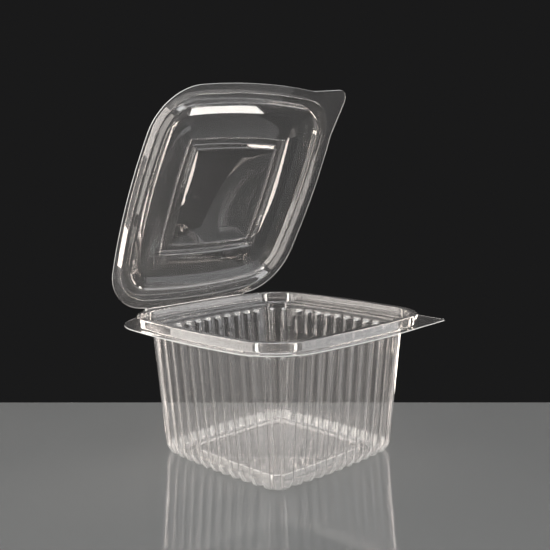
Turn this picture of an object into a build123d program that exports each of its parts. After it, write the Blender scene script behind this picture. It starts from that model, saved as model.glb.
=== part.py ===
from build123d import *

import os
from math import asin, atan2, degrees, radians, sin, sqrt, tan

# A clear thermoformed clamshell pack: a fluted tub and a domed lid, formed from one sheet
# and joined at the back by a live hinge. Sizes are in millimetres and angles in degrees.
# The origin is the middle of the foot. +Z is up, the hinge is at the +Y side.
# Insets are measured inward from the flange's outer edge, square to it.

# The sheet and the outline that every ring, wall and plate follows
sheet = 0.38
flange_width = 130.0
side_radius = 336.0
corner_radius = 28.6

# The rim of the tub: flange, hollow bead and inner ledge
flange_height = 68.0
flange_ledge = 5.35
bead_height = 4.6
bead_width = 4.5
bead_lean = 0.25
bead_round = 1.0
ledge_drop = 1.0
ledge_width = 3.7

# The fluted wall, its plain band at the top and its scalloped foot
wall_draft = 5.2
band_height = 3.0
flute_top_slope = 1.5
flutes_per_side = 10
flute_mouth_share = 0.555
flute_flank_share = 0.14
flute_depth = 1.8
foot_height = 4.2
foot_run = 2.4
corner_flute_turn = 14.5
corner_mouth_share = 0.87
corner_flank_share = 0.35
corner_land_turn = 33.0

# The raised panel in the middle of the tub's base
base_panel_width = 66.0
base_panel_bow = 0.9
base_panel_corner = 9.0
base_panel_rise = 1.8
base_panel_slope = 1.4

# The pull tabs at one front corner
tub_tab_reach = 85.2
tub_tab_round = 3.0
lid_tab_reach = 89.5
lid_tab_round = 6.5

# The live hinge: a raised fold along the back
hinge_length = 70.0
hinge_set_back = 1.2
hinge_rise = 2.1
hinge_gap = 0.1
hinge_root = 4.0

# The lid, and how it closes over the bead
closing_gap = 0.3
skirt_gap = 0.5
crown_gap = 0.7
plug_gap = 0.6
plug_floor_rise = 1.0
plug_floor_width = 1.6
incline_width = 5.2
lid_panel_rise = 4.1
open_angle = 64.0

# The raised square frame on the lid's panel
frame_width = 66.6
frame_bow = 1.4
frame_base_run = 6.6
frame_crest_run = 3.0
frame_rise = 2.0
frame_corner = 2.2

# How far a cutting or joining shape runs past what it meets
overrun = 1.0

# Places worked out from the sizes above
flange_half = flange_width / 2
side_centre = side_radius - flange_half
centre_gap = side_radius - corner_radius
corner_centre = (sqrt(2 * centre_gap**2 - side_centre**2) - side_centre) / 2
side_turn = degrees(asin(corner_centre / centre_gap))
tab_start = side_radius * corner_centre / centre_gap
headings = (0, 90, 180, 270)
corner_turns = (-corner_land_turn, -corner_flute_turn, 0, corner_flute_turn, corner_land_turn)

ledge_height = flange_height - ledge_drop
bead_inner_inset = flange_ledge + bead_width
wall_inset = bead_inner_inset + ledge_width
band_start = ledge_height - band_height
flute_end = band_start - flute_top_slope
hinge_y = flange_half + hinge_set_back
hinge_z = flange_height + hinge_rise


def inset_at(height):
    """Give the wall's inset at a height: it grows downward with the draft."""
    return wall_inset + (ledge_height - height) * tan(radians(wall_draft))


def outline_arcs():
    """Give the outline's eight arcs anticlockwise, as centre, radius, start and size."""
    arcs = []
    for heading in headings:
        side_middle = Vector(-side_centre, 0).rotate(Axis.Z, heading)
        corner_middle = Vector(corner_centre, corner_centre).rotate(Axis.Z, heading)
        arcs.append((side_middle, side_radius, heading - side_turn, 2 * side_turn))
        arcs.append((corner_middle, corner_radius, heading + side_turn, 90 - 2 * side_turn))
    return arcs


def bowed_square(inset, mode=Mode.ADD):
    """Fill the outline, moved inward by inset, in the sketch being drawn."""
    with BuildLine() as loop:
        for centre, radius, start, size in outline_arcs():
            CenterArc(centre, radius - inset, start, size)
    make_face(loop.edges(), mode=mode)


def thickened(path, side):
    """Close a bent path with the line one sheet away from it, to its left for 1 and its right for -1."""
    corners = [Vector(*point) for point in path]
    runs = [(far - near).normalized() for near, far in zip(corners, corners[1:])]
    normals = [Vector(-run.Y, run.X) * side for run in runs]
    pairs = zip(corners, normals[:1] + normals, normals + normals[-1:])
    faced = [corner + (before + after) * (sheet / (1 + before.dot(after))) for corner, before, after in pairs]
    return corners + faced[::-1]


def carry_round(path, side):
    """Thicken a path of insets and heights to the sheet, and carry it round the outline."""
    for centre, radius, start, size in outline_arcs():
        outward = Vector(1, 0).rotate(Axis.Z, start)
        section = Plane(origin=centre, x_dir=outward, z_dir=outward.cross(Vector(0, 0, 1)))
        with BuildSketch(section) as profile:
            with BuildLine():
                Polyline(*thickened([(radius - inset, height) for inset, height in path], side), close=True)
            make_face()
        revolve(profile.sketch, axis=Axis(centre, (0, 0, 1)), revolution_arc=size)


def round_point(centre, radius, heading, along, inset):
    """Give the point of a round stretch at an inset, and at a distance along from its heading."""
    outward = sqrt((radius - inset) ** 2 - along**2)
    return centre + Vector(outward, along).rotate(Axis.Z, heading)


def flute_points(centre, radius, heading, middle, mouth, flank_run, inset, fluted):
    """List the two ends of one flute's mouth, with the ends of its floor between them if it is cut."""
    near = round_point(centre, radius, heading, middle - mouth / 2, inset)
    far = round_point(centre, radius, heading, middle + mouth / 2, inset)
    if not fluted:
        return [near, far]
    near_flank = Vector(-flute_depth, flank_run).rotate(Axis.Z, heading)
    far_flank = Vector(-flute_depth, -flank_run).rotate(Axis.Z, heading)
    return [near, near + near_flank, far + far_flank, far]


def wall_section(inset, inside, fluted):
    """List one level of the wall, with its flutes or with a straight edge across each mouth."""
    points = []
    mouth = flute_mouth + 2 * flute_spread * inside
    corner_mouth = corner_flute_mouth + 2 * corner_spread * inside
    for heading in headings:
        side_middle = Vector(-side_centre, 0).rotate(Axis.Z, heading)
        corner_middle = Vector(corner_centre, corner_centre).rotate(Axis.Z, heading)
        side = (side_middle, side_radius, heading)
        for flute in range(flutes_per_side):
            middle = (flute - (flutes_per_side - 1) / 2) * flute_pitch
            points += flute_points(*side, middle, mouth, flute_flank_run, inset, fluted)
        for turn in corner_turns:
            corner = (corner_middle, corner_radius, heading + 45 + turn)
            if abs(turn) == corner_flute_turn:
                points += flute_points(*corner, 0, corner_mouth, corner_flank_run, inset, fluted)
            else:
                points.append(round_point(*corner, 0, inset))
    return points


def wall_body(levels, inside, fluted):
    """Loft a closed body through levels of height and inset."""
    with BuildPart() as body:
        for height, inset in levels:
            with BuildSketch(Plane.XY.offset(height)):
                with BuildLine():
                    Polyline(*wall_section(inset, inside, fluted), close=True)
                make_face()
        loft(ruled=True)
    return body.part


def tapered_block(low_width, low_height, high_width, high_height, bow, corner):
    """Loft a block between two heights. Its sides bow out between round corners."""
    with BuildPart() as block:
        for width, height in ((low_width, low_height), (high_width, high_height)):
            half = width / 2
            with BuildSketch(Plane.XY.offset(height)):
                with BuildLine():
                    for heading in headings:
                        near, middle, far = (
                            Vector(*point).rotate(Axis.Z, heading)
                            for point in ((half, -half), (half + bow, 0), (half, half))
                        )
                        ThreePointArc(near, middle, far)
                fillet(make_face().vertices(), corner)
        loft(ruled=True)
    return block.part


def pull_tab(reach, tip_round, level):
    """Draw out the flange at the front right corner, with its lower face at a level."""
    tip = reach + tip_round * (sqrt(2) - 1)
    with BuildSketch(Plane.XY.offset(level)) as plate:
        with BuildLine():
            Polyline(
                round_point(Vector(0, side_centre), side_radius, -90, tab_start, 0),
                Vector(tip, 0).rotate(Axis.Z, -45),
                round_point(Vector(-side_centre, 0), side_radius, 0, -tab_start, 0),
                close=True,
            )
        tab = make_face()
        fillet(tab.vertices().sort_by(Axis((0, 0, 0), (1, -1, 0)))[-1], tip_round)
        bowed_square(flange_ledge - skirt_gap, Mode.SUBTRACT)
    extrude(plate.sketch, amount=sheet)


def hinge_strip(path):
    """Thicken a path of y and z to the sheet and run it along the hinge."""
    with BuildSketch(Plane.YZ) as profile:
        with BuildLine():
            Polyline(*thickened(path, 1), close=True)
        make_face()
    extrude(profile.sketch, amount=hinge_length / 2, both=True)


# The tub's rim, as the upper face of the sheet from the flange's edge inward
bead_top = flange_height + bead_height
rim_path = (
    (0, flange_height),
    (flange_ledge, flange_height),
    (flange_ledge + bead_lean, bead_top - bead_round),
    (flange_ledge + bead_lean + bead_round, bead_top),
    (bead_inner_inset - bead_lean - bead_round, bead_top),
    (bead_inner_inset - bead_lean, bead_top - bead_round),
    (bead_inner_inset, ledge_height),
    (wall_inset + sheet + overrun, ledge_height),
)

# The flutes' places: an even row fills each side at the foot, and two share each corner
foot_inset = inset_at(foot_height) + foot_run
side_length = 2 * (side_radius - foot_inset) * sin(radians(side_turn))
flute_pitch = side_length / flutes_per_side
flute_mouth = flute_mouth_share * flute_pitch
flute_flank_run = flute_flank_share * flute_pitch
flute_spread = sheet * tan(atan2(flute_depth, flute_flank_run) / 2)
corner_spacing = 2 * (corner_radius - foot_inset - sheet) * sin(radians(corner_flute_turn))
corner_mouth_inside = corner_mouth_share * corner_spacing
corner_flank_run = corner_flank_share * corner_mouth_inside
corner_spread = sheet * tan(atan2(flute_depth, corner_flank_run) / 2)
corner_flute_mouth = corner_mouth_inside - 2 * corner_spread

# The tub's wall: its outer face, and its inner face one sheet further in
top_shift = sheet * tan(atan2(flute_depth, flute_top_slope) / 2)
outer_levels = (
    (0, foot_inset),
    (foot_height, inset_at(foot_height)),
    (band_start, inset_at(band_start)),
)
outer_band_levels = (
    (flute_end, inset_at(flute_end) + flute_depth),
    (band_start, inset_at(band_start)),
    (ledge_height - sheet / 2, inset_at(ledge_height - sheet / 2)),
)
inner_levels = (
    (sheet, foot_inset + sheet),
    (foot_height + sheet / 2, inset_at(foot_height) + sheet),
    (band_start + top_shift, inset_at(band_start) + sheet),
)
inner_band_levels = (
    (flute_end + top_shift, inset_at(flute_end) + sheet + flute_depth),
    (band_start + top_shift, inset_at(band_start) + sheet),
    (ledge_height + overrun, wall_inset + sheet),
)

with BuildPart() as wall_outside:
    add(wall_body(outer_levels, False, True))
    add(wall_body(outer_band_levels, False, False), clean=False)

with BuildPart() as wall_inside:
    add(wall_body(inner_levels, True, True))
    add(wall_body(inner_band_levels, True, False), clean=False)

base_crest_width = base_panel_width - 2 * base_panel_slope
base_recess = tapered_block(
    base_panel_width,
    0,
    base_crest_width,
    base_panel_rise,
    base_panel_bow,
    base_panel_corner,
)
base_panel = tapered_block(
    base_panel_width + 2 * sheet,
    0,
    base_crest_width + 2 * sheet,
    base_panel_rise + sheet,
    base_panel_bow,
    base_panel_corner,
)

# The tub's part of the hinge: the flange runs back and turns up to just under the fold line
tub_hinge_path = (
    (hinge_y - hinge_root, flange_height - sheet),
    (hinge_y + sheet / 2, flange_height - sheet),
    (hinge_y + sheet / 2, hinge_z - sheet / 2 - hinge_gap),
)

with BuildPart() as rim:
    carry_round(rim_path, 1)
    pull_tab(tub_tab_reach, tub_tab_round, flange_height - sheet)
    hinge_strip(tub_hinge_path)

with BuildPart() as tub:
    add(wall_outside.part)
    add(rim.part, clean=False)
    add(wall_inside.part, clean=False, mode=Mode.SUBTRACT)
    add(base_panel, clean=False)
    add(base_recess, clean=False, mode=Mode.SUBTRACT)

tub.part.label = "tub"

# The lid's ring when closed, as the lower face of the sheet from the flange's edge inward
lid_level = flange_height + closing_gap
crown_level = bead_top + crown_gap
skirt_inset = flange_ledge - skirt_gap
plug_inset = bead_inner_inset + plug_gap
plug_level = lid_level + plug_floor_rise
panel_level = lid_level + lid_panel_rise
incline_foot = plug_inset + plug_floor_width
incline_head = incline_foot + incline_width
ring_path = (
    (0, lid_level),
    (skirt_inset, lid_level),
    (skirt_inset + bead_lean, crown_level - bead_round),
    (skirt_inset + bead_lean + bead_round, crown_level),
    (plug_inset - bead_lean - bead_round, crown_level),
    (plug_inset - bead_lean, crown_level - bead_round),
    (plug_inset, plug_level),
    (incline_foot, plug_level),
    (incline_head, panel_level),
    (incline_head + overrun, panel_level),
)

# The lid's frame: a square ridge, hollow below, on the panel
frame_flank = (frame_base_run - frame_crest_run) / 2
frame_inner_width = frame_width - 2 * frame_base_run
panel_top = panel_level + sheet
ridge_top = panel_top + frame_rise
ridge_outside = tapered_block(
    frame_width,
    panel_level,
    frame_width - 2 * frame_flank,
    ridge_top,
    frame_bow,
    frame_corner,
)
ridge_centre = tapered_block(
    frame_inner_width,
    panel_top,
    frame_inner_width + 2 * frame_flank,
    ridge_top + sheet,
    frame_bow,
    frame_corner,
)
hollow_outside = tapered_block(
    frame_width - 2 * sheet,
    panel_level - sheet,
    frame_width - 2 * sheet - 2 * frame_flank,
    ridge_top - sheet,
    frame_bow,
    frame_corner,
)
hollow_centre = tapered_block(
    frame_inner_width + 2 * sheet,
    panel_level - sheet,
    frame_inner_width + 2 * sheet + 2 * frame_flank,
    ridge_top,
    frame_bow,
    frame_corner,
)

with BuildPart() as ridge_hollow:
    add(hollow_outside)
    add(hollow_centre, mode=Mode.SUBTRACT)

with BuildPart() as ridge:
    add(ridge_outside)
    add(ridge_centre, mode=Mode.SUBTRACT)

# The lid's part of the hinge: a step up from its flange, then back to the fold line
lid_hinge_path = (
    (hinge_y - hinge_root, lid_level),
    (flange_half + sheet, lid_level),
    (flange_half + sheet, hinge_z - sheet / 2),
    (hinge_y - hinge_gap, hinge_z - sheet / 2),
)

with BuildPart() as closed_lid:
    with BuildSketch(Plane.XY.offset(panel_level)):
        bowed_square(incline_head + sheet / 2)
    extrude(amount=sheet)
    add(ridge.part)
    add(ridge_hollow.part, mode=Mode.SUBTRACT)
    carry_round(ring_path, -1)
    pull_tab(lid_tab_reach, lid_tab_round, lid_level)
    hinge_strip(lid_hinge_path)

# The lid stands open on the hinge line, as the pack is shown
hinge_line = Axis((0, hinge_y, hinge_z), (1, 0, 0))

with BuildPart() as lid:
    add(closed_lid.part.rotate(hinge_line, -open_angle))

lid.part.label = "lid"

os.makedirs("parts", exist_ok=True)
export_step(tub.part, "parts/tub.step")
export_step(lid.part, "parts/lid.step")
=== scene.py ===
import math

import bmesh
import bpy
from mathutils import Matrix, Vector


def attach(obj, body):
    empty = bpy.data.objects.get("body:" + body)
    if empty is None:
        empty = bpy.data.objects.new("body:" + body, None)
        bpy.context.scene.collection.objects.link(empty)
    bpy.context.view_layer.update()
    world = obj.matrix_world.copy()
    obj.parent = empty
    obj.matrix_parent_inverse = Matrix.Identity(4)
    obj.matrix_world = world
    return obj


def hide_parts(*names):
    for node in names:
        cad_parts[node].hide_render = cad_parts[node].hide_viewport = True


# A clear hinged pack, open on a grey table in front of a dark backdrop.
# Shapes are drawn in millimetres in the row frame and scaled to metres when they are finished.
# Insets are measured inward from the flange's outer edge, square to it.

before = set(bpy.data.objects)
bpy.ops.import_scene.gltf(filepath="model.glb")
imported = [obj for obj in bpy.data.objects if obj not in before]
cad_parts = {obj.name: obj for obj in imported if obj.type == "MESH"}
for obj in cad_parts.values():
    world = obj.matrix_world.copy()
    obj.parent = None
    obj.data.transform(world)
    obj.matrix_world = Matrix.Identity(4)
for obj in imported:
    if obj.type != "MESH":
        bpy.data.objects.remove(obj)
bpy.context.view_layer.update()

METRES = 0.001
MERGE = 0.02

# The sheet and the outline that every ring follows
SHEET = 0.38
FLANGE_HALF = 64.94
SIDE_RADIUS = 336.0
CORNER_RADIUS = 28.6

# The tub's rim, wall and base, on the sheet's inner face
FLANGE_HEIGHT = 68.0
FLANGE_LEDGE = 5.35
BEAD_HEIGHT = 4.6
BEAD_WIDTH = 4.5
BEAD_LEAN = 0.25
BEAD_BEND = 1.15
ROOT_BEND = 0.55
LEDGE_HEIGHT = 67.0
LEDGE_WIDTH = 4.08
WALL_DRAFT = math.radians(5.2)
WALL_BEND = 0.8
FOOT_HEIGHT = 4.4
FOOT_RUN = 2.4
FOOT_BEND = 0.9
FLOOR_MARGIN = 3.8

# The flutes of the wall
FLUTE_COUNT = 10
FLUTE_PITCH = 7.02
FLUTE_MOUTH = 4.35
FLUTE_FLOOR = 2.35
FLUTE_DEPTH = 1.75
FLUTE_SOFTNESS = 0.25
FLUTE_TOP = 64.2
FLUTE_TOP_RUN = 1.6
FLUTE_TOP_STEPS = 7
FLUTE_INSET = 16.5
CORNER_FLUTE_TURN = math.radians(14.5)
CORNER_FLUTE_MOUTH = math.radians(11.5)
CORNER_FLUTE_FLOOR = math.radians(4.5)
CORNER_FLUTE_SOFTNESS = math.radians(0.8)

# The raised panel in the base
PANEL_HALF = 33.1
PANEL_BOW = 0.9
PANEL_CORNER = 9.0
PANEL_SLOPE = 1.4
PANEL_RISE = 1.8
PANEL_BEND = 0.5

# The lid when it is closed, on the sheet's lower face
LID_LEVEL = 68.3
SKIRT_INSET = 4.85
CROWN_LEVEL = 73.3
PLUG_INSET = 10.45
PLUG_LEVEL = 69.3
PLUG_FLOOR = 1.6
INCLINE_WIDTH = 5.2
LID_PANEL_LEVEL = 72.4
INCLINE_BEND = 1.2
LID_MARGIN = 1.2

# The raised square frame on the lid's panel
RIDGE_HALF = 33.3
RIDGE_BOW = 1.4
RIDGE_MARGIN = 1.0
RIDGE_FOOT = 0.25
RIDGE_FLANK = 1.8
RIDGE_CREST = 2.5
RIDGE_RISE = 2.0
RIDGE_BEND = 0.5

# The pull tabs at the front right corner
TUB_TAB_TIP = 86.4
TUB_TAB_ROUND = 3.0
LID_TAB_TIP = 92.2
LID_TAB_ROUND = 6.5

# The live hinge
HINGE_HALF = 35.0
HINGE_Y = 66.2
HINGE_Z = 70.1
HINGE_GAP = 0.1
LID_STEP_Y = 65.38
OPEN_TURN = math.radians(64)

# How finely the outlines are divided
TUB_SIDE_STEPS = 153
TUB_CORNER_STEPS = 44
PLAIN_SIDE_STEPS = 64
PLAIN_CORNER_STEPS = 34
TUB_BEND_STEPS = 3
LID_BEND_STEPS = 6
SHARP_EDGE = math.radians(38)

QUARTER = math.pi / 2

# The heights between which the extra haze at the base fades out. It is painted light: it brightens the
# base and foot to stand in for the light they catch.
PAINTED_BASE_LIGHT_FULL = 3.0
PAINTED_BASE_LIGHT_GONE = 9.0

# The second material of a piece is its cut edge, made pale as a painted highlight, and the third a
# painted highlight on its drawn creases
CUT_EDGE_HIGHLIGHT = 1
CREASE_HIGHLIGHT = 2
CREASE_HIGHLIGHT_LEAST = 0.3
CREASE_HIGHLIGHT_MOST = 0.96


class Outline:
    """A closed outline of four bowed sides and four round corners, all tangent."""

    def __init__(self, half, side_radius, corner_radius):
        gap = side_radius - corner_radius
        self.side_radius = side_radius
        self.corner_radius = corner_radius
        self.side_centre = side_radius - half
        self.corner_centre = (math.sqrt(2 * gap**2 - self.side_centre**2) - self.side_centre) / 2
        self.side_turn = math.asin(self.corner_centre / gap)

    def start(self, inset, height):
        """Give the point at the start of the +X side at an inset and a height."""
        spoke = Vector((self.side_radius - inset, 0, height))
        spoke.rotate(Matrix.Rotation(-self.side_turn, 3, "Z"))
        return spoke - Vector((self.side_centre, 0, 0))


def bow_radius(half, bow):
    """Give the radius of a side that bows out between two corners."""
    return (half**2 + bow**2) / (2 * bow)


def rounded(path, bends, steps):
    """Round the inner points of a path of inset and height, each with its own radius."""
    points = [Vector(path[0])]
    for before, bend, after, radius in zip(path, path[1:], path[2:], bends):
        corner = Vector(bend)
        back = (Vector(before) - corner).normalized()
        ahead = (Vector(after) - corner).normalized()
        half = back.angle(ahead) / 2
        centre = corner + (back + ahead).normalized() * radius / math.sin(half)
        first = corner + back * radius / math.tan(half) - centre
        last = corner + ahead * radius / math.tan(half) - centre
        for step in range(steps + 1):
            points.append(centre + first.slerp(last, step / steps))
    return points + [Vector(path[-1])]


def smooth(share):
    """Ease a share from 0 to 1."""
    share = min(max(share, 0), 1)
    return share * share * (3 - 2 * share)


def draw_wire(mesh, points):
    """Add a line of vertices and edges through some points."""
    verts = [mesh.verts.new(point) for point in points]
    edges = [mesh.edges.new(pair) for pair in zip(verts, verts[1:])]
    return verts + edges


def carry_round(mesh, outline, points, side_steps, corner_steps):
    """Spin a path of inset and height round the eight arcs of an outline."""
    known = set(mesh.verts)
    geometry = draw_wire(mesh, [outline.start(inset, height) for inset, height in points])
    side = Vector((-outline.side_centre, 0, 0))
    corner = Vector((outline.corner_centre, outline.corner_centre, 0))
    arcs = (
        (side, 2 * outline.side_turn, side_steps),
        (corner, QUARTER - 2 * outline.side_turn, corner_steps),
    )
    for heading in range(4):
        turn = Matrix.Rotation(heading * QUARTER, 3, "Z")
        for centre, angle, steps in arcs:
            spun = bmesh.ops.spin(
                mesh, geom=geometry, cent=turn @ centre, axis=(0, 0, 1), angle=angle, steps=steps
            )
            geometry = spun["geom_last"]
    fresh = [vert for vert in mesh.verts if vert not in known]
    bmesh.ops.remove_doubles(mesh, verts=fresh, dist=MERGE)


def open_edges(mesh, height, low=0.0, high=math.inf):
    """List the open edges at a height whose wider coordinate lies between two distances."""
    found = []
    for edge in mesh.edges:
        middle = (edge.verts[0].co + edge.verts[1].co) / 2
        reach = max(abs(middle.x), abs(middle.y))
        if edge.is_boundary and abs(middle.z - height) < MERGE and low < reach < high:
            found.append(edge)
    return found


def fill_flat(mesh, edges):
    """Fill the flat stretch that open edges bound."""
    bmesh.ops.triangle_fill(mesh, edges=edges, use_beauty=True, normal=(0, 0, 1))


def draw_out_tab(mesh, outline, tip, tip_round):
    """Move the flange's edge out to a rounded tip at the front right corner."""
    centre = Vector((outline.corner_centre, -outline.corner_centre))
    half = QUARTER / 2 - outline.side_turn
    tip_reach = tip - centre.length
    slant = math.atan2(
        outline.corner_radius * math.sin(half),
        tip_reach - outline.corner_radius * math.cos(half),
    )
    round_centre = tip_reach - tip_round / math.sin(slant)
    for vert in {vert for edge in mesh.edges if edge.is_boundary for vert in edge.verts}:
        spoke = vert.co.xy - centre
        turn = abs(math.atan2(spoke.y, spoke.x) + QUARTER / 2)
        if turn > half or spoke.length < outline.corner_radius - MERGE:
            continue
        near = math.sin(half - turn) / tip_reach + math.sin(turn) / outline.corner_radius
        reach = math.sin(half) / near
        sideways = reach * math.sin(turn)
        if sideways < tip_round * math.cos(slant):
            drop = (round_centre * math.sin(turn)) ** 2
            reach = round_centre * math.cos(turn) + math.sqrt(tip_round**2 - drop)
        vert.co.xy = centre + spoke.normalized() * reach


def straight_back(mesh, back):
    """Move the flange's back edge along the hinge to a straight line, and give its edges."""
    edges = [
        edge
        for edge in mesh.edges
        if edge.is_boundary
        and all(abs(vert.co.x) <= HINGE_HALF and vert.co.y > FLANGE_HALF - 3 for vert in edge.verts)
    ]
    for vert in {vert for edge in edges for vert in edge.verts}:
        vert.co.y = back
    return edges


def fold_on(mesh, edges, step):
    """Extrude open edges by a step, and give the new open edges."""
    made = bmesh.ops.extrude_edge_only(mesh, edges=edges)["geom"]
    verts = [item for item in made if isinstance(item, bmesh.types.BMVert)]
    bmesh.ops.translate(mesh, verts=verts, vec=step)
    fresh = set(verts)
    return [
        item
        for item in made
        if isinstance(item, bmesh.types.BMEdge) and fresh.issuperset(item.verts)
    ]


def thicken(mesh, up):
    """Turn the drawn face up or down and put the sheet's thickness behind it."""
    bmesh.ops.recalc_face_normals(mesh, faces=mesh.faces)
    middle = min(mesh.faces, key=lambda face: face.calc_center_median().xy.length)
    if (middle.normal.z > 0) != up:
        bmesh.ops.reverse_faces(mesh, faces=mesh.faces)
    drawn = set(mesh.verts)
    bmesh.ops.solidify(mesh, geom=mesh.faces, thickness=SHEET)
    # The rim faces take the cut edge's material, whose paleness is a painted highlight of the light the
    # edge catches.
    for face in mesh.faces:
        if 0 < sum(vert in drawn for vert in face.verts) < len(face.verts):
            face.material_index = CUT_EDGE_HIGHLIGHT
    for vert in mesh.verts:
        vert.co.z = max(vert.co.z, 0)


def mark_crease_highlights(mesh):
    """Give the slopes at the flutes' tops, at the foot and round the base's panel a paler sheet: a
    painted highlight.
    """
    mesh.normal_update()
    for face in mesh.faces:
        height = face.calc_center_median().z
        near = height < FOOT_HEIGHT or FLUTE_TOP - FLUTE_TOP_RUN < height < FLUTE_TOP
        # These slopes are made paler as a painted highlight.
        if near and CREASE_HIGHLIGHT_LEAST < abs(face.normal.z) < CREASE_HIGHLIGHT_MOST:
            face.material_index = CREASE_HIGHLIGHT


def finish_piece(mesh, name, materials):
    """Scale a drawn mesh to metres and make it a smooth object with sharp cut edges."""
    bmesh.ops.scale(mesh, vec=(METRES, METRES, METRES), verts=mesh.verts)
    data = bpy.data.meshes.new(name)
    mesh.to_mesh(data)
    mesh.free()
    data.shade_smooth()
    data.set_sharp_from_angle(angle=SHARP_EDGE)
    for material in materials:
        data.materials.append(material)
    piece = bpy.data.objects.new(name, data)
    bpy.context.scene.collection.objects.link(piece)
    return piece


rim_outline = Outline(FLANGE_HALF, SIDE_RADIUS, CORNER_RADIUS)


def flute_share(point):
    """Give how far a point of the wall lies into a flute, from 0 on a land to 1 on its floor."""
    heading = round(math.atan2(point.y, point.x) / QUARTER)
    turned = Matrix.Rotation(-heading * QUARTER, 3, "Z") @ point
    turn = math.atan2(turned.y, turned.x + rim_outline.side_centre)
    if abs(turn) <= rim_outline.side_turn:
        along = turn * (SIDE_RADIUS - FLUTE_INSET) / FLUTE_PITCH + (FLUTE_COUNT - 1) / 2
        nearest = min(max(round(along), 0), FLUTE_COUNT - 1)
        away = abs(along - nearest) * FLUTE_PITCH
        mouth, floor, softness = FLUTE_MOUTH / 2, FLUTE_FLOOR / 2, FLUTE_SOFTNESS
        centre = Vector((-rim_outline.side_centre, 0))
    else:
        middle = rim_outline.corner_centre
        centre = Vector((middle, math.copysign(middle, turned.y)))
        spoke = turned.xy - centre
        away = abs(abs(math.atan2(abs(spoke.y), spoke.x) - QUARTER / 2) - CORNER_FLUTE_TURN)
        mouth, floor = CORNER_FLUTE_MOUTH / 2, CORNER_FLUTE_FLOOR / 2
        softness = CORNER_FLUTE_SOFTNESS
    share = smooth((mouth + softness - away) / (mouth - floor + 2 * softness))
    inward = (centre - turned.xy).normalized().to_3d()
    return share, Matrix.Rotation(heading * QUARTER, 3, "Z") @ inward


def press_flutes(mesh, foot_inset):
    """Move the wall and the foot's edge inward where the flutes lie."""
    for vert in mesh.verts:
        height = smooth((FLUTE_TOP - vert.co.z) / FLUTE_TOP_RUN)
        if height == 0:
            continue
        share, inward = flute_share(vert.co)
        if vert.co.z < FOOT_HEIGHT:
            heading = round(math.atan2(vert.co.y, vert.co.x) / QUARTER)
            turned = Matrix.Rotation(-heading * QUARTER, 3, "Z") @ vert.co
            turn = math.atan2(turned.y, turned.x + rim_outline.side_centre)
            if abs(turn) <= rim_outline.side_turn:
                reach = SIDE_RADIUS - math.hypot(turned.x + rim_outline.side_centre, turned.y)
            else:
                middle = rim_outline.corner_centre
                reach = CORNER_RADIUS - math.hypot(turned.x - middle, abs(turned.y) - middle)
            share *= smooth((foot_inset + FLOOR_MARGIN - reach) / (FLOOR_MARGIN - FOOT_BEND))
        vert.co += inward * FLUTE_DEPTH * share * height


def make_tub(materials):
    """Draw the tub: rim, fluted wall, base and its side of the hinge, as one sheet."""
    mesh = bmesh.new()
    bead_top = FLANGE_HEIGHT + BEAD_HEIGHT
    bead_inner = FLANGE_LEDGE + BEAD_WIDTH
    wall_top = bead_inner + LEDGE_WIDTH

    def wall_point(height):
        return wall_top + (LEDGE_HEIGHT - height) * math.tan(WALL_DRAFT), height

    foot_top = wall_point(FOOT_HEIGHT)
    foot_inset = foot_top[0] + FOOT_RUN
    rim_points = rounded(
        (
            (0, FLANGE_HEIGHT),
            (FLANGE_LEDGE, FLANGE_HEIGHT),
            (FLANGE_LEDGE + BEAD_LEAN, bead_top),
            (bead_inner - BEAD_LEAN, bead_top),
            (bead_inner, LEDGE_HEIGHT),
            (wall_top, LEDGE_HEIGHT),
            wall_point(FLUTE_TOP + 1),
        ),
        (ROOT_BEND, BEAD_BEND, BEAD_BEND, ROOT_BEND, WALL_BEND),
        TUB_BEND_STEPS,
    )
    wall_points = [
        Vector(wall_point(FLUTE_TOP - step * FLUTE_TOP_RUN / FLUTE_TOP_STEPS))
        for step in range(FLUTE_TOP_STEPS + 1)
    ]
    middle_points = [Vector(wall_point(height)) for height in (50, 36, 22)]
    foot_points = rounded(
        (wall_point(10), foot_top, (foot_inset, SHEET), (foot_inset + FLOOR_MARGIN, SHEET)),
        (FOOT_BEND, FOOT_BEND),
        TUB_BEND_STEPS,
    )
    points = rim_points + wall_points + middle_points + foot_points
    carry_round(mesh, rim_outline, points, TUB_SIDE_STEPS, TUB_CORNER_STEPS)
    floor_edge = open_edges(mesh, SHEET)

    panel_outline = Outline(
        PANEL_HALF + PANEL_BOW, bow_radius(PANEL_HALF, PANEL_BOW), PANEL_CORNER
    )
    panel_top = SHEET + PANEL_RISE
    panel_points = rounded(
        ((-1, SHEET), (0, SHEET), (PANEL_SLOPE, panel_top), (PANEL_SLOPE + 1, panel_top)),
        (PANEL_BEND, PANEL_BEND),
        LID_BEND_STEPS,
    )
    press_flutes(mesh, foot_inset)
    carry_round(mesh, panel_outline, panel_points, PLAIN_SIDE_STEPS, PLAIN_CORNER_STEPS)
    known = set(floor_edge)
    panel_edge = [edge for edge in open_edges(mesh, SHEET) if edge not in known]
    fill_flat(mesh, floor_edge + panel_edge)
    fill_flat(mesh, open_edges(mesh, panel_top))

    draw_out_tab(mesh, rim_outline, TUB_TAB_TIP, TUB_TAB_ROUND)
    back = straight_back(mesh, HINGE_Y - SHEET / 2)
    fold_on(mesh, back, (0, 0, HINGE_Z - HINGE_GAP - SHEET / 2 - FLANGE_HEIGHT))
    thicken(mesh, up=True)
    mark_crease_highlights(mesh)
    return finish_piece(mesh, "tub_shell", materials)


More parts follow.
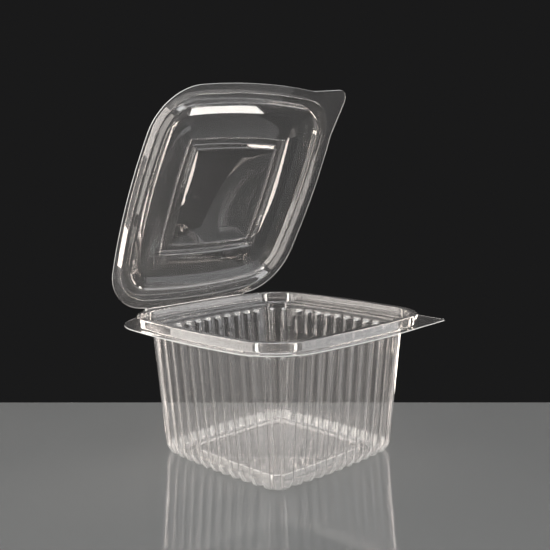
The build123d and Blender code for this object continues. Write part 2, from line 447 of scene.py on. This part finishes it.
def add_ridge(mesh):
    """Add the lid's raised square frame: one bowed side, cut at the diagonals, four times."""
    outline = Outline(RIDGE_HALF + RIDGE_BOW, bow_radius(RIDGE_HALF, RIDGE_BOW), RIDGE_MARGIN)
    base = LID_PANEL_LEVEL
    crest = base + RIDGE_RISE
    first_crest = RIDGE_FOOT + RIDGE_FLANK
    second_crest = first_crest + RIDGE_CREST
    foot = second_crest + RIDGE_FLANK
    points = rounded(
        (
            (-RIDGE_MARGIN, base),
            (RIDGE_FOOT, base),
            (first_crest, crest),
            (second_crest, crest),
            (foot, base),
            (foot + RIDGE_MARGIN, base),
        ),
        (RIDGE_BEND, RIDGE_BEND, RIDGE_BEND, RIDGE_BEND),
        LID_BEND_STEPS,
    )
    side = Vector((-outline.side_centre, 0, 0))
    known = set(mesh.verts)
    reach = outline.side_turn * 1.2
    start = Matrix.Rotation(-reach, 3, "Z")
    spokes = [start @ Vector((outline.side_radius - inset, 0, level)) + side for inset, level in points]
    wire = draw_wire(mesh, spokes)
    bmesh.ops.spin(
        mesh, geom=wire, cent=side, axis=(0, 0, 1), angle=2 * reach, steps=PLAIN_SIDE_STEPS
    )
    for diagonal in ((-1, 1, 0), (-1, -1, 0)):
        fresh = {vert for vert in mesh.verts if vert not in known}
        bmesh.ops.bisect_plane(
            mesh,
            geom=list(fresh)
            + [edge for edge in mesh.edges if fresh.issuperset(edge.verts)]
            + [face for face in mesh.faces if fresh.issuperset(face.verts)],
            plane_co=(0, 0, 0),
            plane_no=diagonal,
            dist=MERGE / 10,
            clear_outer=True,
        )
    fresh = {vert for vert in mesh.verts if vert not in known}
    geometry = [face for face in mesh.faces if fresh.issuperset(face.verts)]
    for heading in range(1, 4):
        copy = bmesh.ops.duplicate(mesh, geom=geometry)["geom"]
        bmesh.ops.rotate(
            mesh,
            verts=[item for item in copy if isinstance(item, bmesh.types.BMVert)],
            cent=(0, 0, 0),
            matrix=Matrix.Rotation(heading * QUARTER, 3, "Z"),
        )
    fresh = [vert for vert in mesh.verts if vert not in known]
    bmesh.ops.remove_doubles(mesh, verts=fresh, dist=MERGE)


def make_lid(materials):
    """Draw the lid closed, as one sheet, and open it on the hinge line."""
    mesh = bmesh.new()
    incline_foot = PLUG_INSET + PLUG_FLOOR
    incline_head = incline_foot + INCLINE_WIDTH
    points = rounded(
        (
            (0, LID_LEVEL),
            (SKIRT_INSET, LID_LEVEL),
            (SKIRT_INSET + BEAD_LEAN, CROWN_LEVEL),
            (PLUG_INSET - BEAD_LEAN, CROWN_LEVEL),
            (PLUG_INSET, PLUG_LEVEL),
            (incline_foot, PLUG_LEVEL),
            (incline_head, LID_PANEL_LEVEL),
            (incline_head + LID_MARGIN, LID_PANEL_LEVEL),
        ),
        (ROOT_BEND, BEAD_BEND, BEAD_BEND, ROOT_BEND, INCLINE_BEND, INCLINE_BEND),
        LID_BEND_STEPS,
    )
    carry_round(mesh, rim_outline, points, PLAIN_SIDE_STEPS, PLAIN_CORNER_STEPS)
    add_ridge(mesh)
    fill_flat(mesh, open_edges(mesh, LID_PANEL_LEVEL, RIDGE_HALF - 2))
    fill_flat(mesh, open_edges(mesh, LID_PANEL_LEVEL, 0, RIDGE_HALF - 2))

    draw_out_tab(mesh, rim_outline, LID_TAB_TIP, LID_TAB_ROUND)
    step = straight_back(mesh, LID_STEP_Y)
    turned = fold_on(mesh, step, (0, 0, HINGE_Z - SHEET / 2 - LID_LEVEL))
    fold_on(mesh, turned, (0, HINGE_Y - HINGE_GAP - LID_STEP_Y, 0))
    thicken(mesh, up=False)
    bmesh.ops.rotate(
        mesh,
        verts=mesh.verts,
        cent=(0, HINGE_Y, HINGE_Z),
        matrix=Matrix.Rotation(-OPEN_TURN, 3, "X"),
    )
    return finish_piece(mesh, "lid_shell", materials)


def make_hinge_film(materials):
    """Draw the fold between the tub's lip and the lid's step, as a thin round strip."""
    mesh = bmesh.new()
    bmesh.ops.create_cone(
        mesh,
        cap_ends=True,
        segments=16,
        radius1=SHEET / 2,
        radius2=SHEET / 2,
        depth=2 * HINGE_HALF,
        matrix=Matrix.Translation((0, HINGE_Y, HINGE_Z)) @ Matrix.Rotation(QUARTER, 4, "Y"),
    )
    return finish_piece(mesh, "hinge_film", materials)


def let_lamps_through(material, colour):
    """Let the lamps' light pass the sheet in one colour, so that it throws a soft shadow."""
    nodes = material.node_tree.nodes
    links = material.node_tree.links
    clear = nodes.new("ShaderNodeBsdfTransparent")
    clear.inputs["Color"].default_value = colour
    rays = nodes.new("ShaderNodeLightPath")
    mix = nodes.new("ShaderNodeMixShader")
    links.new(rays.outputs["Is Shadow Ray"], mix.inputs["Fac"])
    links.new(nodes["Principled BSDF"].outputs["BSDF"], mix.inputs[1])
    links.new(clear.outputs["BSDF"], mix.inputs[2])
    links.new(mix.outputs["Shader"], nodes["Material Output"].inputs["Surface"])


def clear_sheet():
    """Make the clear sheet: glossy, with the faint haze of a formed film, and hazier at the base as
    painted light that brightens the base and foot.
    """
    material = bpy.data.materials.new("clear_sheet")
    material.use_nodes = True
    sheet = material.node_tree.nodes["Principled BSDF"]
    sheet.inputs["Base Color"].default_value = (0.95, 0.94, 0.935, 1)
    sheet.inputs["Roughness"].default_value = 0.02
    sheet.inputs["IOR"].default_value = 1.57
    links = material.node_tree.links
    place = material.node_tree.nodes.new("ShaderNodeTexCoord")
    axes = material.node_tree.nodes.new("ShaderNodeSeparateXYZ")
    # Haze that grows towards the base is painted light, a brightening of the base and foot; above it
    # the faint haze is the film's own.
    haze_and_painted_base_light = material.node_tree.nodes.new("ShaderNodeMapRange")
    haze_and_painted_base_light.inputs["From Min"].default_value = PAINTED_BASE_LIGHT_FULL * METRES
    haze_and_painted_base_light.inputs["From Max"].default_value = PAINTED_BASE_LIGHT_GONE * METRES
    haze_and_painted_base_light.inputs["To Min"].default_value = 0.945
    haze_and_painted_base_light.inputs["To Max"].default_value = 0.98
    links.new(place.outputs["Object"], axes.inputs["Vector"])
    links.new(axes.outputs["Z"], haze_and_painted_base_light.inputs["Value"])
    links.new(haze_and_painted_base_light.outputs["Result"], sheet.inputs["Transmission Weight"])
    let_lamps_through(material, (0.88, 0.88, 0.88, 1))
    return material


def painted_highlight_sheet(name, roughness, clearness):
    """Make a paler, less clear sheet: a painted highlight that shows as a pale line."""
    material = bpy.data.materials.new(name)
    material.use_nodes = True
    sheet = material.node_tree.nodes["Principled BSDF"]
    sheet.inputs["Base Color"].default_value = (0.92, 0.92, 0.91, 1)
    sheet.inputs["Roughness"].default_value = roughness
    sheet.inputs["IOR"].default_value = 1.57
    sheet.inputs["Transmission Weight"].default_value = clearness
    let_lamps_through(material, (0.88, 0.88, 0.88, 1))
    return material


# The camera, from the photograph's own perspective
CAMERA_PLACE = Vector((-0.29888, -0.30565, 0.15031))
CAMERA_AZIMUTH = math.radians(-44.29)
CAMERA_PITCH = math.radians(-7.78)
CAMERA_ROLL = math.radians(-0.72)
CAMERA_LENS = 55.69
SENSOR_WIDTH = 36.0


def place_camera():
    """Put the scene's camera where the photograph was taken from."""
    data = bpy.data.cameras.new("camera")
    data.lens = CAMERA_LENS
    data.sensor_width = SENSOR_WIDTH
    data.clip_start = 0.01
    data.clip_end = 20
    camera = bpy.data.objects.new("camera", data)
    turn = (
        Matrix.Rotation(CAMERA_AZIMUTH, 4, "Z")
        @ Matrix.Rotation(QUARTER + CAMERA_PITCH, 4, "X")
        @ Matrix.Rotation(CAMERA_ROLL, 4, "Z")
    )
    camera.matrix_world = Matrix.Translation(CAMERA_PLACE) @ turn
    bpy.context.scene.collection.objects.link(camera)
    bpy.context.scene.camera = camera


# The table, whose far edge shows behind the pack
TABLE_FAR = 0.0863
TABLE_TURN = math.radians(-46.8)
TABLE_NEAR = 1.2
TABLE_HALF_WIDTH = 1.5


def make_table():
    """Lay a grey table that ends just behind the pack, square to the view."""
    material = bpy.data.materials.new("table_grey")
    material.use_nodes = True
    surface = material.node_tree.nodes["Principled BSDF"]
    surface.inputs["Base Color"].default_value = (0.116, 0.119, 0.12, 1)
    surface.inputs["Roughness"].default_value = 0.03
    mesh = bmesh.new()
    depth = TABLE_FAR + TABLE_NEAR
    bmesh.ops.create_grid(mesh, x_segments=1, y_segments=1, size=0.5)
    bmesh.ops.scale(mesh, vec=(2 * TABLE_HALF_WIDTH, depth, 1), verts=mesh.verts)
    bmesh.ops.translate(mesh, vec=(0, TABLE_FAR - depth / 2, 0), verts=mesh.verts)
    bmesh.ops.rotate(
        mesh, verts=mesh.verts, cent=(0, 0, 0), matrix=Matrix.Rotation(TABLE_TURN, 3, "Z")
    )
    data = bpy.data.meshes.new("table")
    mesh.to_mesh(data)
    mesh.free()
    data.materials.append(material)
    table = bpy.data.objects.new("table", data)
    bpy.context.scene.collection.objects.link(table)


BACKDROP = (0.0103, 0.0103, 0.0105, 1)
ROOM_LIGHT = (0.5, 0.52, 0.55, 1)
ROOM_STRENGTH = 0.35


def make_world():
    """Show a dark backdrop to every straight, mirrored and bent view, and light the rest softly."""
    world = bpy.data.worlds.new("room")
    bpy.context.scene.world = world
    world.use_nodes = True
    nodes = world.node_tree.nodes
    links = world.node_tree.links
    room = nodes["Background"]
    room.inputs["Color"].default_value = ROOM_LIGHT
    room.inputs["Strength"].default_value = ROOM_STRENGTH
    dark = nodes.new("ShaderNodeBackground")
    dark.inputs["Color"].default_value = BACKDROP
    rays = nodes.new("ShaderNodeLightPath")
    seen = nodes.new("ShaderNodeMath")
    seen.operation = "MAXIMUM"
    bent = nodes.new("ShaderNodeMath")
    bent.operation = "MAXIMUM"
    mix = nodes.new("ShaderNodeMixShader")
    links.new(rays.outputs["Is Camera Ray"], seen.inputs[0])
    links.new(rays.outputs["Is Glossy Ray"], seen.inputs[1])
    links.new(seen.outputs["Value"], bent.inputs[0])
    links.new(rays.outputs["Is Transmission Ray"], bent.inputs[1])
    links.new(bent.outputs["Value"], mix.inputs["Fac"])
    links.new(room.outputs["Background"], mix.inputs[1])
    links.new(dark.outputs["Background"], mix.inputs[2])
    links.new(mix.outputs["Shader"], nodes["World Output"].inputs["Surface"])


LIGHT_AIM = Vector((0, 0, 0.09))


def add_softbox(name, azimuth, elevation, distance, width, height, power, colour):
    """Hang a soft lamp round the pack. Azimuth 0 is over the camera and grows to the right."""
    data = bpy.data.lights.new(name, "AREA")
    data.shape = "RECTANGLE"
    data.size = width
    data.size_y = height
    data.energy = power
    data.color = colour
    lamp = bpy.data.objects.new(name, data)
    turn = CAMERA_AZIMUTH + math.radians(azimuth)
    rise = math.radians(elevation)
    away = Vector(
        (math.sin(turn) * math.cos(rise), -math.cos(turn) * math.cos(rise), math.sin(rise))
    )
    place = LIGHT_AIM + away * distance
    lamp.matrix_world = Matrix.Translation(place) @ away.to_track_quat("Z", "Y").to_matrix().to_4x4()
    bpy.context.scene.collection.objects.link(lamp)
    return lamp


def add_lights():
    """Light the pack with wide soft lamps at the left, the right and above."""
    cream = (1.0, 0.96, 0.91)
    warm = (1.0, 0.9, 0.82)
    white = (0.96, 0.98, 1.0)
    add_softbox("lamp_left", -75, 25, 0.8, 0.8, 0.9, 6, cream)
    add_softbox("strip_left", -112, 20, 0.8, 0.12, 0.9, 3.2, warm)
    add_softbox("strip_front_left", -40, 15, 0.8, 0.1, 0.6, 2.2, cream)
    add_softbox("lamp_right", 80, 20, 0.9, 0.8, 0.9, 3.4, white)
    add_softbox("strip_right", 118, 20, 0.8, 0.08, 0.8, 3.6, warm)
    add_softbox("strip_front_right", 42, 15, 0.8, 0.1, 0.6, 1.8, cream)
    add_softbox("lamp_top", 0, 82, 0.8, 0.7, 0.5, 5, white)
    for name, azimuth, elevation, distance, width, height, power, colour in (
        ("lamp_low_back", 154, -44, 0.6, 0.09, 0.24, 0.6, cream),
        ("lamp_low_side", 139, -14, 0.6, 0.26, 0.24, 1.5, warm),
        ("glow_low_right", 105, -36, 0.8, 1.2, 0.8, 0.4, white),
    ):
        lamp = add_softbox(name, azimuth, elevation, distance, width, height, power, colour)
        lamp.visible_transmission = False


sheet_materials = (
    clear_sheet(),
    # The cut edge is rough in its own right; its pale, less clear sheet is a painted highlight.
    painted_highlight_sheet("cut_edge_painted_highlight", 0.45, 0.25),
    # The creases' paler sheet is a painted highlight on the slopes.
    painted_highlight_sheet("crease_painted_highlight", 0.04, 0.84),
)

tub_shell = make_tub(sheet_materials)
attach(tub_shell, "tub")
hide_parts("tub")

lid_shell = make_lid(sheet_materials[:2])
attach(lid_shell, "lid")
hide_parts("lid")

hinge_film = make_hinge_film(sheet_materials[:1])
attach(hinge_film, "tub")

place_camera()
make_table()
make_world()
add_lights()

scene = bpy.context.scene
scene.view_settings.view_transform = "Standard"
scene.cycles.max_bounces = 24
scene.cycles.transmission_bounces = 24
scene.cycles.transparent_max_bounces = 24
